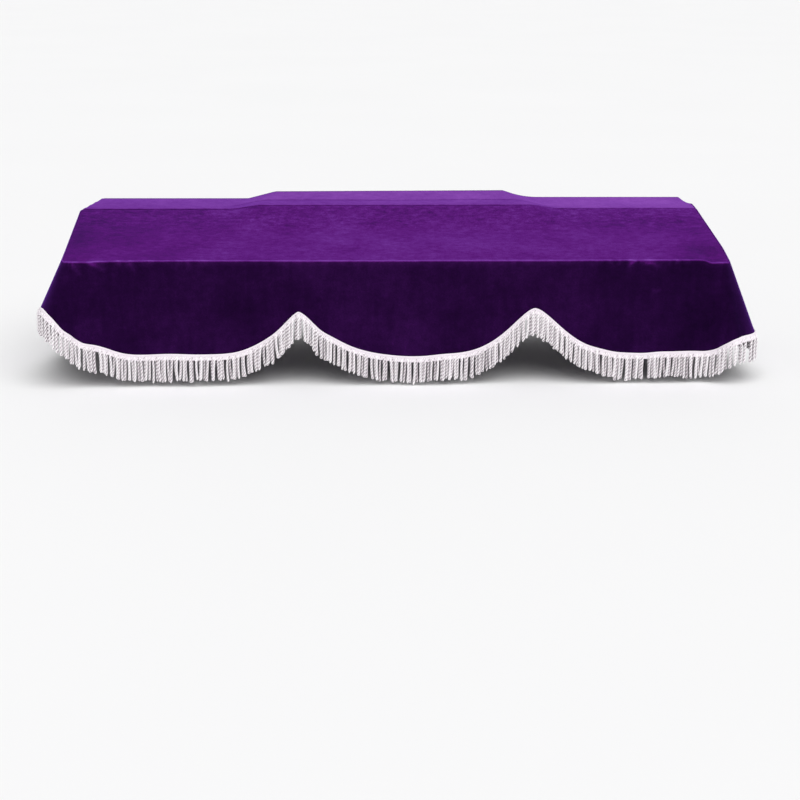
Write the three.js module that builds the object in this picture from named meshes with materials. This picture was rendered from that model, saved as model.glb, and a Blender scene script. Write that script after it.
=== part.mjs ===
// A fitted velvet keyboard cover. A top panel slopes up from the front seam to a fold and a narrow rear
// strip. Skirts hang from its rim, and a white looped fringe on a heading tape is sewn on the face of the
// scalloped front and side hems.
import * as THREE from "three";

// Driving dimensions in millimetres. The working frame has its zero at the middle of the front seam,
// with X to the right, Y to the back and Z up.
const HALF_WIDTH = 690;
const DEPTH = 420;
const CORNER_RADIUS = 20;
const FOLD_AT = 318;
const FOLD_RISE = 61;
const REAR_RISE = 69;
const CLOTH = 2;
const SEWN_GAP = 0.3;
const SEAM_RIDGE = { height: 2.5, width: 4 };
const MOUNT_AT = 370;

// Heading tape and strands of the fringe
const TAPE = { height: 13, thickness: 1.4, gap: 0.6, overlap: 10 };
const STRAND = { width: 4.6, thickness: 3, length: 41, uneven: 4, sway: 0.7, middle: 0.5, tip: 0.7 };
const STRAND_COUNTS = { front: 192, side: 46 };

// How far along the rim each stretch reaches. The rim is measured from the middle of the front: a front
// corner counts as CORNER_SPAN and a rear corner as REAR_SPAN, about their lengths at the hem. The front
// skirt ends on the side, JOIN_PAST beyond the corner.
const CORNER_SPAN = 110;
const REAR_SPAN = 70;
const JOIN_PAST = 5;
const FRONT_END = HALF_WIDTH - CORNER_RADIUS;
const SIDE_START = FRONT_END + CORNER_SPAN;
const SIDE_END = SIDE_START + DEPTH - 2 * CORNER_RADIUS;
const RIM_END = SIDE_END + REAR_SPAN;
const JOIN_AT = SIDE_START + JOIN_PAST;

// Raised middle of the rear strip: height of the lift, and where its two flanks begin and end
const LIFT = [
  { at: 170, height: 0, leftFoot: -420, leftTop: -330, rightTop: 350, rightFoot: 440 },
  { at: FOLD_AT, height: 8, leftFoot: -362, leftTop: -295, rightTop: 312, rightFoot: 380 },
  { at: 365, height: 8.5, leftFoot: -345, leftTop: -280, rightTop: 290, rightFoot: 362 },
  { at: DEPTH, height: 16, leftFoot: -325, leftTop: -263, rightTop: 262, rightFoot: 342 },
];

// The rear corners sag: the left one off a slanting line, the right one inside a small rectangle
const LEFT_SAG = { drop: 24, alongSide: 115, alongRear: 33 };
const RIGHT_SAG = { drop: 13, alongSide: 60, alongRear: 17 };

// The front right corner droops, and the rear strip is a little higher to the right
const FRONT_SAG = { drop: 6, from: 634, to: 658, alongSide: 90 };
const REAR_TILT = { rise: 3, from: -250, to: 330 };

// Lowest level of the lobes below the front seam, along the rim
const LOBES = [
  { at: -RIM_END, drop: 165 },
  { at: -900, drop: 165 },
  { at: -780, drop: 190 },
  { at: -300, drop: 190 },
  { at: 0, drop: 195 },
  { at: 300, drop: 193 },
  { at: 780, drop: 192 },
  { at: 900, drop: 165 },
  { at: RIM_END, drop: 165 },
];

// Peaks between the lobes: height above the lobes, reach to each side and roundness
const PEAKS = [
  { at: -760, rise: 96, before: 140, after: 100, roundness: 1.8 },
  { at: -211, rise: 89, before: 66, after: 80, roundness: 1.4 },
  { at: 281, rise: 96, before: 75.5, after: 82, roundness: 1.6 },
  { at: 760, rise: 39, before: 86, after: 110, roundness: 4 },
];

// Small waves of the hem: place along the rim, half width and how much lower it hangs
const WAVES = [
  { at: -698, width: 18, drop: 4.5 },
  { at: -655, width: 17, drop: 4 },
  { at: -612, width: 34, drop: -7 },
  { at: -475, width: 40, drop: -2.5 },
  { at: -345, width: 50, drop: 3.5 },
  { at: -255, width: 25, drop: 2 },
  { at: -166, width: 22, drop: 5 },
  { at: 0, width: 60, drop: 2.8 },
  { at: 90, width: 30, drop: -2 },
  { at: 420, width: 26, drop: -2 },
  { at: 545, width: 25, drop: -2.2 },
  { at: 600, width: 60, drop: -6 },
];

// How far the skirt leans out for each millimetre of drop, along the rim to the left and right
const LEAN = [
  { at: 0, left: 0.05, right: 0.05 },
  { at: 600, left: 0.06, right: 0.05 },
  { at: 660, left: 0.1, right: 0.08 },
  { at: 720, left: 0.3, right: 0.27 },
  { at: 765, left: 0.455, right: 0.4 },
  { at: 800, left: 0.475, right: 0.42 },
  { at: 900, left: 0.33, right: 0.33 },
  { at: 1000, left: 0.22, right: 0.22 },
  { at: SIDE_END, left: 0.11, right: 0.11 },
  { at: RIM_END, left: 0.04, right: 0.04 },
];
const BACK_LEAN = 0.04;
const BACK_HEM = 175;

// Soft hanging folds: place along the rim, half width, and how far each stands out at the hem
const FOLDS = [
  { at: -1090, width: 48, out: -5 },
  { at: -960, width: 60, out: 7 },
  { at: -735, width: 20, out: 3 },
  { at: -600, width: 45, out: 5 },
  { at: -430, width: 80, out: 5 },
  { at: -300, width: 45, out: -3 },
  { at: -90, width: 60, out: 4 },
  { at: 60, width: 70, out: 7 },
  { at: 190, width: 45, out: -3 },
  { at: 420, width: 60, out: 5 },
  { at: 560, width: 55, out: 4 },
  { at: 650, width: 26, out: -3 },
  { at: 694, width: 24, out: 4 },
  { at: 734, width: 24, out: -3 },
  { at: 950, width: 55, out: 7 },
  { at: 1080, width: 50, out: -5 },
];
const BACK_FOLDS = [
  { at: -420, width: 110, out: 6 },
  { at: 60, width: 130, out: 5 },
  { at: 480, width: 100, out: 7 },
];

// Steps of the sheets
const CORNER_ANGLES = [0, 22.5, 45, 67.5, 90];
const SLOPE_ROWS = [70, 130, 190, 250, DEPTH - LEFT_SAG.alongSide];
const STRIP_ROWS = [330, DEPTH - RIGHT_SAG.alongSide, MOUNT_AT, 385];
const TOP_STATIONS = 26;
const FRONT_STEP = 22;
const SIDE_STEP = 22;
const CORNER_STEP = 6;
const HEM_SAMPLES = 1200;
const SKIRT_ROWS = [0, 0.3, 0.6, 0.85, 1];
const BACK_ROWS = [0, 0.4, 0.75, 1];

const radians = (degrees) => (degrees * Math.PI) / 180;
const share = (value, from, to) => Math.min(1, Math.max(0, (value - from) / (to - from)));
const blend = (from, to, amount) => from + (to - from) * amount;

function ease(amount) {
  return amount * amount * (3 - 2 * amount);
}

function hump(distance, width) {
  return Math.exp(-((distance / width) ** 2));
}

// A column of a table at a place between its rows
function tableAt(table, at, column) {
  const next = table.findIndex((row) => row.at >= at);
  if (next === 0) return table[0][column];
  if (next < 0) return table[table.length - 1][column];
  const [low, high] = [table[next - 1], table[next]];
  return blend(low[column], high[column], share(at, low.at, high.at));
}

// The same with rounded turns at the rows: a cubic through them, level at both ends
function roundedAt(table, at, column) {
  const next = table.findIndex((row) => row.at >= at);
  if (next === 0) return table[0][column];
  if (next < 0) return table[table.length - 1][column];
  const steepness = (row) => {
    const [low, high] = [table[row - 1], table[row + 1]];
    return low && high ? (high[column] - low[column]) / (high.at - low.at) : 0;
  };
  const [low, high] = [table[next - 1], table[next]];
  const span = high.at - low.at;
  const t = (at - low.at) / span;
  const bulge = steepness(next - 1) * (1 - t) * (1 - t) * t - steepness(next) * (1 - t) * t * t;
  return blend(low[column], high[column], ease(t)) + span * bulge;
}

// An even scatter between -1 and 1 that is the same on every run, and the step to a second series of it
const SCATTER = { turn: 12.9898, spread: 43758.5453 };
const SECOND_SERIES = 0.5;

function scatter(number) {
  const wave = Math.sin(number * SCATTER.turn) * SCATTER.spread;
  return 2 * (wave - Math.floor(wave)) - 1;
}

// The lift's flanks are rounded at the fold. At the rear edge the left one is straight and the right one
// hollow.
function middleLift(x, y) {
  const rise = share(x, tableAt(LIFT, y, "leftFoot"), tableAt(LIFT, y, "leftTop"));
  const fall = share(x, tableAt(LIFT, y, "rightFoot"), tableAt(LIFT, y, "rightTop"));
  const taut = share(y, FOLD_AT, DEPTH);
  return tableAt(LIFT, y, "height") * blend(ease(rise) * ease(fall), rise * fall * fall, taut);
}

function cornerSag(x, y) {
  const { alongSide, alongRear } = LEFT_SAG;
  const past = (y - DEPTH + alongSide) / alongSide - (x + HALF_WIDTH) / alongRear;
  const left = LEFT_SAG.drop * Math.max(0, past);
  const sideways = share(x, HALF_WIDTH - RIGHT_SAG.alongRear, HALF_WIDTH);
  const right = RIGHT_SAG.drop * sideways * share(y, DEPTH - RIGHT_SAG.alongSide, DEPTH);
  const drooped = ease(share(x, FRONT_SAG.from, FRONT_SAG.to));
  const front = FRONT_SAG.drop * drooped * (1 - ease(share(y, 0, FRONT_SAG.alongSide)));
  return left + right + front;
}

function rearTilt(x, y) {
  return REAR_TILT.rise * share(x, REAR_TILT.from, REAR_TILT.to) * share(y, FOLD_AT, DEPTH);
}

// Height of the outer face of the top above the front seam
function topHeight(x, y) {
  const slope = FOLD_RISE * share(y, 0, FOLD_AT);
  const strip = (REAR_RISE - FOLD_RISE) * share(y, FOLD_AT, DEPTH);
  const ridge = SEAM_RIDGE.height * hump(y, SEAM_RIDGE.width);
  return slope + strip + middleLift(x, y) + rearTilt(x, y) - cornerSag(x, y) + ridge;
}

// Place on the seam line and direction outwards, at a distance along the rim
function rimAt(along) {
  const side = Math.sign(along) || 1;
  const far = Math.abs(along);
  let angle = 0;
  let run = 0;
  if (far <= FRONT_END) {
    return { x: along, y: 0, outX: 0, outY: -1 };
  }
  if (far <= SIDE_START) {
    angle = radians((90 * (far - FRONT_END)) / CORNER_SPAN);
  } else if (far <= SIDE_END) {
    angle = radians(90);
    run = far - SIDE_START;
  } else {
    angle = radians(90 + (90 * (far - SIDE_END)) / REAR_SPAN);
    run = SIDE_END - SIDE_START;
  }
  const outX = side * Math.sin(angle);
  const outY = -Math.cos(angle);
  const x = side * FRONT_END + CORNER_RADIUS * outX;
  return { x, y: CORNER_RADIUS + run + CORNER_RADIUS * outY, outX, outY };
}

function backAt(along) {
  return { x: along, y: DEPTH, outX: 0, outY: 1 };
}

// Drop of the tape's upper edge below the front seam
function hemDrop(along) {
  let drop = roundedAt(LOBES, along, "drop");
  for (const peak of PEAKS) {
    const reach = along < peak.at ? peak.before : peak.after;
    const away = (Math.abs(along - peak.at) / reach) ** peak.roundness;
    drop -= peak.rise * Math.exp(-away);
  }
  for (const wave of WAVES) {
    drop += wave.drop * hump(along - wave.at, wave.width);
  }
  return drop;
}

function foldOut(folds, along) {
  let out = 0;
  for (const fold of folds) {
    out += fold.out * hump(along - fold.at, fold.width);
  }
  return out;
}

// A skirt as functions of the distance along the rim: place, hem and lean, with its folds
const fringedSkirt = {
  placeAt: rimAt,
  hemAt: (along) => -hemDrop(along) - TAPE.overlap,
  leanAt: (along) => roundedAt(LEAN, Math.abs(along), along < 0 ? "left" : "right"),
  folds: FOLDS,
};
const plainSkirt = {
  placeAt: backAt,
  hemAt: () => -BACK_HEM,
  leanAt: () => BACK_LEAN,
  folds: BACK_FOLDS,
};

// Upper edge of a skirt, level with the rim of the top that it is sewn round
function skirtTop(skirt, along) {
  const { x, y } = skirt.placeAt(along);
  return topHeight(x, y);
}

// Thickness of a leaning skirt measured level
function skirtThickness(skirt, along) {
  return CLOTH * Math.hypot(1, skirt.leanAt(along));
}

// Point of a skirt at a height, a distance out from the outer face of its cloth
function skirtPoint(skirt, along, height, out) {
  const place = skirt.placeAt(along);
  const top = skirtTop(skirt, along);
  const down = (top - height) / (top - skirt.hemAt(along));
  const skin = SEWN_GAP + skirtThickness(skirt, along);
  const drape = skirt.leanAt(along) * (top - height) + foldOut(skirt.folds, along) * down;
  const stand = skin + drape + out;
  return [place.x + place.outX * stand, place.y + place.outY * stand, height];
}

// A closed mesh from points and triangles that are added face by face
class Faces {
  constructor() {
    this.points = [];
    this.triangles = [];
  }

  point(place) {
    this.points.push(...place);
    return this.points.length / 3 - 1;
  }

  triangle(a, b, c) {
    this.triangles.push(a, b, c);
  }

  quad(a, b, c, d) {
    this.triangle(a, b, c);
    this.triangle(a, c, d);
  }

  geometry() {
    const made = new THREE.BufferGeometry();
    made.setAttribute("position", new THREE.Float32BufferAttribute(this.points, 3));
    made.setIndex(this.triangles);
    made.computeVertexNormals();
    return made;
  }
}

// A sheet between an outer and an inner grid of points, with rows from its first edge and columns from
// left to right as seen from outside
function sheetGeometry(columns, rows, outerPoint, innerPoint) {
  const faces = new Faces();
  const grid = (pointAt) => columns.map((column) => rows.map((row) => faces.point(pointAt(column, row))));
  const outer = grid(outerPoint);
  const inner = grid(innerPoint);
  const lastColumn = columns.length - 1;
  const lastRow = rows.length - 1;
  for (let i = 0; i < lastColumn; i += 1) {
    for (let j = 0; j < lastRow; j += 1) {
      faces.quad(outer[i][j], outer[i][j + 1], outer[i + 1][j + 1], outer[i + 1][j]);
      faces.quad(inner[i][j], inner[i + 1][j], inner[i + 1][j + 1], inner[i][j + 1]);
    }
    faces.quad(outer[i][0], outer[i + 1][0], inner[i + 1][0], inner[i][0]);
    faces.quad(outer[i][lastRow], inner[i][lastRow], inner[i + 1][lastRow], outer[i + 1][lastRow]);
  }
  for (let j = 0; j < lastRow; j += 1) {
    faces.quad(outer[0][j], inner[0][j], inner[0][j + 1], outer[0][j + 1]);
    faces.quad(
      outer[lastColumn][j],
      outer[lastColumn][j + 1],
      inner[lastColumn][j + 1],
      inner[lastColumn][j],
    );
  }
  return faces.geometry();
}

function evenSteps(from, to, count) {
  return Array.from({ length: count + 1 }, (_, step) => blend(from, to, step / count));
}

// Rows of the top from the rear to the front, and their half width inside the rounded corners
const EDGE_ROWS = CORNER_ANGLES.map((angle) => CORNER_RADIUS * (1 - Math.cos(radians(angle))));
const TOP_ROWS = [
  ...EDGE_ROWS,
  ...SLOPE_ROWS,
  FOLD_AT,
  ...STRIP_ROWS,
  ...EDGE_ROWS.map((row) => DEPTH - row).reverse(),
].sort((a, b) => b - a);

function rowHalfWidth(y) {
  const inside = Math.max(0, Math.abs(y - DEPTH / 2) - (DEPTH / 2 - CORNER_RADIUS));
  return FRONT_END + Math.sqrt(CORNER_RADIUS ** 2 - inside ** 2);
}

// Stations across the top as shares of the half width, closer together towards both ends
const STATION_CURVE = 1.25;
const STATIONS = evenSteps(-1, 1, TOP_STATIONS).map(
  (step) => Math.sign(step) * (1 - (1 - Math.abs(step)) ** STATION_CURVE),
);

function topPanelGeometry() {
  const pointAt = (station, y, below) => {
    const x = station * rowHalfWidth(y);
    return [x, y, topHeight(x, y) - below];
  };
  return sheetGeometry(
    STATIONS,
    TOP_ROWS,
    (station, y) => pointAt(station, y, 0),
    (station, y) => pointAt(station, y, CLOTH),
  );
}

function skirtGeometry(skirt, columns, rows) {
  const pointAt = (along, down, out) => {
    const height = blend(skirtTop(skirt, along), skirt.hemAt(along), down);
    return skirtPoint(skirt, along, height, out);
  };
  return sheetGeometry(
    columns,
    rows,
    (along, down) => pointAt(along, down, 0),
    (along, down) => pointAt(along, down, -skirtThickness(skirt, along)),
  );
}

// Columns of the skirts along the rim, closer together round the corners
const stepsOf = (from, to, widest) => evenSteps(from, to, Math.ceil((to - from) / widest));
const FRONT_COLUMNS = [
  ...stepsOf(-JOIN_AT, -FRONT_END, CORNER_STEP),
  ...stepsOf(-FRONT_END, FRONT_END, FRONT_STEP).slice(1, -1),
  ...stepsOf(FRONT_END, JOIN_AT, CORNER_STEP),
];
const SIDE_COLUMNS = [
  ...stepsOf(JOIN_AT + SEWN_GAP, SIDE_END, SIDE_STEP),
  ...stepsOf(SIDE_END, RIM_END, CORNER_STEP).slice(1),
];
const LEFT_COLUMNS = SIDE_COLUMNS.map((along) => -along).reverse();
const BACK_COLUMNS = STATIONS.map((station) => -station * (FRONT_END - SEWN_GAP));

// A point off the faceted cloth: between its two nearest columns, at a height and a distance out
function overCloth(columns, along, height, out) {
  const next = Math.max(1, columns.findIndex((column) => column >= along));
  const [low, high] = [columns[next - 1], columns[next]];
  const from = skirtPoint(fringedSkirt, low, height, out);
  const to = skirtPoint(fringedSkirt, high, height, out);
  const amount = share(along, low, high);
  return from.map((value, axis) => blend(value, to[axis], amount));
}

// Places of the strands along the rim, evenly spaced by length along the sloping hem
function strandPlaces(from, to, count) {
  const steps = evenSteps(from, to, HEM_SAMPLES);
  const lengths = [0];
  for (let i = 1; i < steps.length; i += 1) {
    const climb = hemDrop(steps[i]) - hemDrop(steps[i - 1]);
    lengths.push(lengths[i - 1] + Math.hypot(steps[i] - steps[i - 1], climb));
  }
  const total = lengths[lengths.length - 1];
  return Array.from({ length: count }, (_, strand) => {
    const wanted = (total * (strand + 0.5)) / count;
    const next = lengths.findIndex((length) => length >= wanted);
    return blend(steps[next - 1], steps[next], share(wanted, lengths[next - 1], lengths[next]));
  });
}

// One strand of three sides from its root in the tape's lower edge, with a bend at its middle
function addStrand(faces, root, heading, number) {
  const { width, thickness, length, uneven, sway, middle, tip } = STRAND;
  const reach = length + uneven * scatter(number);
  const sideStep = sway * scatter(number + SECOND_SERIES);
  const ring = (down, size, step) => {
    const height = heading.height - reach * down;
    const corner = (sideways, out) => [
      heading.x + heading.alongX * (sideways * size + step) + heading.outX * out,
      heading.y + heading.alongY * (sideways * size + step) + heading.outY * out,
      height,
    ];
    return [
      faces.point(corner(-width / 2, heading.face)),
      faces.point(corner(width / 2, heading.face)),
      faces.point(corner(0, heading.face - thickness * size)),
    ];
  };
  const bend = ring(middle, 1, sideStep);
  const end = ring(1, tip, sideStep / 2);
  for (const [from, to] of [[root, bend], [bend, end]]) {
    from.forEach((_, corner) => {
      const other = (corner + 1) % from.length;
      faces.quad(from[corner], to[corner], to[other], from[other]);
    });
  }
  faces.triangle(end[0], end[2], end[1]);
}

// A heading tape on the face of the hem, from one end to the other, with its strands in one solid
function fringeGeometry(columns, count) {
  const faces = new Faces();
  const ends = [columns[0], columns[columns.length - 1]];
  const places = strandPlaces(ends[0], ends[1], count);
  const outerFace = TAPE.gap + TAPE.thickness;
  const upper = (along, out) => faces.point(overCloth(columns, along, -hemDrop(along), out));
  const lowerPlace = (along, out) => overCloth(columns, along, -hemDrop(along) - TAPE.height, out);
  const lower = (along, out) => faces.point(lowerPlace(along, out));
  const endSection = (along) => {
    const edge = lower(along, outerFace);
    const [top, back] = [upper(along, outerFace), upper(along, TAPE.gap)];
    return { top, back, left: edge, right: edge, inner: lower(along, TAPE.gap) };
  };
  const strandSection = (along, number) => {
    const place = rimAt(along);
    const [x, y, height] = lowerPlace(along, 0);
    const heading = { x, y, height, face: outerFace, outX: place.outX, outY: place.outY };
    heading.alongX = -place.outY;
    heading.alongY = place.outX;
    const section = {
      top: upper(along, outerFace),
      back: upper(along, TAPE.gap),
      left: lower(along - STRAND.width / 2, outerFace),
      right: lower(along + STRAND.width / 2, outerFace),
      inner: lower(along, TAPE.gap),
    };
    faces.triangle(section.top, section.left, section.right);
    addStrand(faces, [section.left, section.right, section.inner], heading, number);
    return section;
  };
  const sections = [
    endSection(ends[0]),
    ...places.map((along, number) => strandSection(along, number)),
    endSection(ends[1]),
  ];
  for (let i = 1; i < sections.length; i += 1) {
    const [before, after] = [sections[i - 1], sections[i]];
    faces.quad(before.top, before.right, after.left, after.top);
    faces.quad(before.back, after.back, after.inner, before.inner);
    faces.quad(before.top, after.top, after.back, before.back);
    faces.quad(before.right, before.inner, after.inner, after.left);
  }
  const [first, last] = [sections[0], sections[sections.length - 1]];
  faces.quad(first.top, first.back, first.inner, first.right);
  faces.quad(last.top, last.left, last.inner, last.back);
  return faces.geometry();
}

const velvet = (name) =>
  new THREE.MeshStandardMaterial({ name, color: 0x4a1766, roughness: 0.95, metalness: 0 });
const yarn = (name) =>
  new THREE.MeshStandardMaterial({ name, color: 0xe6dfe5, roughness: 0.8, metalness: 0 });

function namedMesh(name, geometry, material) {
  const mesh = new THREE.Mesh(geometry, material);
  mesh.name = name;
  return mesh;
}

const velvetPieces = [
  namedMesh("top_panel", topPanelGeometry(), velvet("top_velvet")),
  namedMesh("front_skirt", skirtGeometry(fringedSkirt, FRONT_COLUMNS, SKIRT_ROWS), velvet("front_velvet")),
  namedMesh("left_skirt", skirtGeometry(fringedSkirt, LEFT_COLUMNS, SKIRT_ROWS), velvet("left_velvet")),
  namedMesh("right_skirt", skirtGeometry(fringedSkirt, SIDE_COLUMNS, SKIRT_ROWS), velvet("right_velvet")),
  namedMesh("back_skirt", skirtGeometry(plainSkirt, BACK_COLUMNS, BACK_ROWS), velvet("back_velvet")),
];
const fringes = [
  namedMesh("front_fringe", fringeGeometry(FRONT_COLUMNS, STRAND_COUNTS.front), yarn("front_yarn")),
  namedMesh("left_fringe", fringeGeometry(LEFT_COLUMNS, STRAND_COUNTS.side), yarn("left_yarn")),
  namedMesh("right_fringe", fringeGeometry(SIDE_COLUMNS, STRAND_COUNTS.side), yarn("right_yarn")),
];

// The part's zero is under the top, in the middle of the rear strip, where the cover is held up
const cover = new THREE.Group();
cover.add(...velvetPieces, ...fringes);
cover.position.set(0, -MOUNT_AT, CLOTH - topHeight(0, MOUNT_AT));

export default cover;
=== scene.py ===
# A fitted purple velvet keyboard cover, with a white looped fringe on its scalloped hem. Shapes are
# worked out in millimetres from the middle of the front seam, with X to the right, Y to the back and Z
# up, and moved into the frame as each mesh is made.
import math
from collections import namedtuple

import bpy
import numpy as np
from mathutils import Matrix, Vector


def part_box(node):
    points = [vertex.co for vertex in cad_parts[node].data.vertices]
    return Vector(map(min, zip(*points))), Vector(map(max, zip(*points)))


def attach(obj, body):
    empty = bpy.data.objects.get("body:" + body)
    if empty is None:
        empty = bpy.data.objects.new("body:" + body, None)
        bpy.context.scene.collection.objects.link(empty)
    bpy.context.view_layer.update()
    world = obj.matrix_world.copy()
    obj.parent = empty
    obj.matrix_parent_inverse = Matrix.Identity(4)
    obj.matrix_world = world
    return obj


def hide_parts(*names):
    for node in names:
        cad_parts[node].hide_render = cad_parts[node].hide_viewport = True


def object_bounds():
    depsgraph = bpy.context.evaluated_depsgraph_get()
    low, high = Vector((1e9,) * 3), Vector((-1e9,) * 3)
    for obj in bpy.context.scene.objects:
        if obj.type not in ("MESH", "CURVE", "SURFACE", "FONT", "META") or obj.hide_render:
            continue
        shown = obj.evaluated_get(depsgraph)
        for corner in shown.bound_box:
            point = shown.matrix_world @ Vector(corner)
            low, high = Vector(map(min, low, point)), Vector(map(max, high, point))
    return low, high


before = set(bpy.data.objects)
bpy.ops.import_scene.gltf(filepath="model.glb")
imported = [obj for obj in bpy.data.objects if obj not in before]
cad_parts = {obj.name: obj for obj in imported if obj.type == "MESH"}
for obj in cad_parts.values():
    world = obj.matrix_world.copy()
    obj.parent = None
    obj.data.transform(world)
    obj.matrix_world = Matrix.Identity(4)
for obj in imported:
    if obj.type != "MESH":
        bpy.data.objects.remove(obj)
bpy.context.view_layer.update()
SEED = 5202
MM_PER_METRE = 1000

# Main sizes, the first two from the frame
top_low, top_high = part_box("top_panel")
HALF_WIDTH = MM_PER_METRE * top_high.x
DEPTH = MM_PER_METRE * (top_high.y - top_low.y)
CORNER_RADIUS = 20
FOLD_AT = 318
FOLD_RISE = 61
REAR_RISE = 69
MOUNT_AT = 370
CLOTH = 2
SEWN_GAP = 0.3

# Rounded edges of the cloth, the turned hem, and the line of stitching on the plain hem
EDGE_ROUNDING = 1.8
JOIN_ROUNDING = 1.2
HEM_TURN = {"height": 12, "step": 1.2, "extra": 1.1, "rounding": 1.4}
HEM_STITCH = {"depth": 0.5, "width": 1.3, "tone": -0.06}

# Seam allowance inside a skirt, turned in under the top: where it begins and ends below the seam, how
# soon it is full, and how far it reaches
SEAM_ALLOWANCE = {"start": 2.2, "end": 8, "edge": 0.7, "reach": 3}

# Stretches of the rim, measured from the middle of the front, with each corner counted by its length at
# the hem. The front skirt ends on the side, a little past the corner.
CORNER_SPAN = 110
REAR_SPAN = 70
JOIN_PAST = 5
FRONT_END = HALF_WIDTH - CORNER_RADIUS
SIDE_START = FRONT_END + CORNER_SPAN
SIDE_END = SIDE_START + DEPTH - 2 * CORNER_RADIUS
RIM_END = SIDE_END + REAR_SPAN
JOIN_AT = SIDE_START + JOIN_PAST

# Raised middle of the rear strip: height of the lift, and where its two flanks begin and end
Lift = namedtuple("Lift", "at height left_foot left_top right_top right_foot")
LIFT = [
    Lift(170, 0, -420, -330, 350, 440),
    Lift(FOLD_AT, 8, -362, -295, 312, 380),
    Lift(365, 8.5, -345, -280, 290, 362),
    Lift(DEPTH, 16, -325, -263, 262, 342),
]

# The rear corners sag: the left one off a slanting line, the right one inside a small rectangle
LEFT_SAG = {"drop": 24, "along_side": 115, "along_rear": 33}
RIGHT_SAG = {"drop": 13, "along_side": 60, "along_rear": 17}

# The front right corner droops, and the rear strip is a little higher to the right
FRONT_SAG = {"drop": 6, "start": 634, "end": 658, "along_side": 90}
REAR_TILT = {"rise": 3, "start": -250, "end": 330}

# Front seam: a narrow ridge that puckers in stretches
SEAM_RIDGE = {"height": 2.5, "width": 4}
PUCKER_REACH = 13
PUCKER_DRIFT = {"shift": 9, "length": 113}
Pucker = namedtuple("Pucker", "at width wave height")
PUCKERS = [
    Pucker(-590, 90, 37, 0.9),
    Pucker(-440, 80, 29, 0.6),
    Pucker(-150, 150, 43, 0.35),
    Pucker(210, 120, 33, 0.4),
    Pucker(470, 80, 30, 0.8),
    Pucker(570, 60, 24, 0.6),
]

# Soft swells and dips of the top
Swell = namedtuple("Swell", "x y half_x half_y height")
SWELLS = [
    Swell(-520, 150, 120, 80, 1.6),
    Swell(-330, 90, 90, 60, -1.2),
    Swell(-120, 190, 140, 70, 1.1),
    Swell(90, 80, 160, 60, 1.4),
    Swell(260, 210, 90, 60, -1.3),
    Swell(470, 120, 110, 80, 1.5),
    Swell(600, 220, 60, 60, -1.2),
    Swell(-655, 0, 40, 30, -1.6),
    Swell(-400, 0, 190, 40, 1.2),
    Swell(-600, 372, 60, 22, 1.0),
    Swell(560, 380, 70, 20, -0.9),
]

# Creases of the top: the fold under the rear strip, a second one that bends down to it at both ends,
# and a soft one that runs up from the front right corner
FOLD_TILT = 0.005
FOLD_CREASE = {"depth": 1.7, "width": 3.2}
INNER_CREASE = {"depth": 1.5, "width": 3.4, "reach": 330, "fade": 70}
Bend = namedtuple("Bend", "at y")
INNER_BENDS = [
    Bend(-430, 321),
    Bend(-374, 331),
    Bend(-338, 356),
    Bend(-285, 366),
    Bend(20, 363),
    Bend(275, 365),
    Bend(318, 348),
    Bend(366, 329),
    Bend(430, 321),
]
CORNER_CREASE = {"from": (645, 0), "to": (634, 135), "depth": 2.2, "width": 11}

# Lowest level of the lobes below the front seam, along the rim
Lobe = namedtuple("Lobe", "at drop")
LOBES = [
    Lobe(-RIM_END, 165),
    Lobe(-900, 165),
    Lobe(-780, 190),
    Lobe(-300, 190),
    Lobe(0, 195),
    Lobe(300, 193),
    Lobe(780, 192),
    Lobe(900, 165),
    Lobe(RIM_END, 165),
]

# Peaks between the lobes: height above the lobes, reach to each side and roundness
Peak = namedtuple("Peak", "at rise before after roundness")
PEAKS = [
    Peak(-760, 96, 140, 100, 1.8),
    Peak(-211, 89, 66, 80, 1.4),
    Peak(281, 96, 75.5, 82, 1.6),
    Peak(760, 39, 86, 110, 4),
]

# Small waves of the hem: place along the rim, half width and how much lower it hangs
Wave = namedtuple("Wave", "at width drop")
WAVES = [
    Wave(-698, 18, 4.5),
    Wave(-655, 17, 4),
    Wave(-612, 34, -7),
    Wave(-475, 40, -2.5),
    Wave(-345, 50, 3.5),
    Wave(-255, 25, 2),
    Wave(-166, 22, 5),
    Wave(0, 60, 2.8),
    Wave(90, 30, -2),
    Wave(420, 26, -2),
    Wave(545, 25, -2.2),
    Wave(600, 60, -6),
]

# How far the skirt leans out for each millimetre of drop, along the rim to the left and right
Lean = namedtuple("Lean", "at left right")
LEAN = [
    Lean(0, 0.05, 0.05),
    Lean(600, 0.06, 0.05),
    Lean(660, 0.1, 0.08),
    Lean(720, 0.3, 0.27),
    Lean(765, 0.455, 0.4),
    Lean(800, 0.475, 0.42),
    Lean(900, 0.33, 0.33),
    Lean(1000, 0.22, 0.22),
    Lean(SIDE_END, 0.11, 0.11),
    Lean(RIM_END, 0.04, 0.04),
]
BACK_LEAN = 0.04
BACK_HEM = 175

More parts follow.
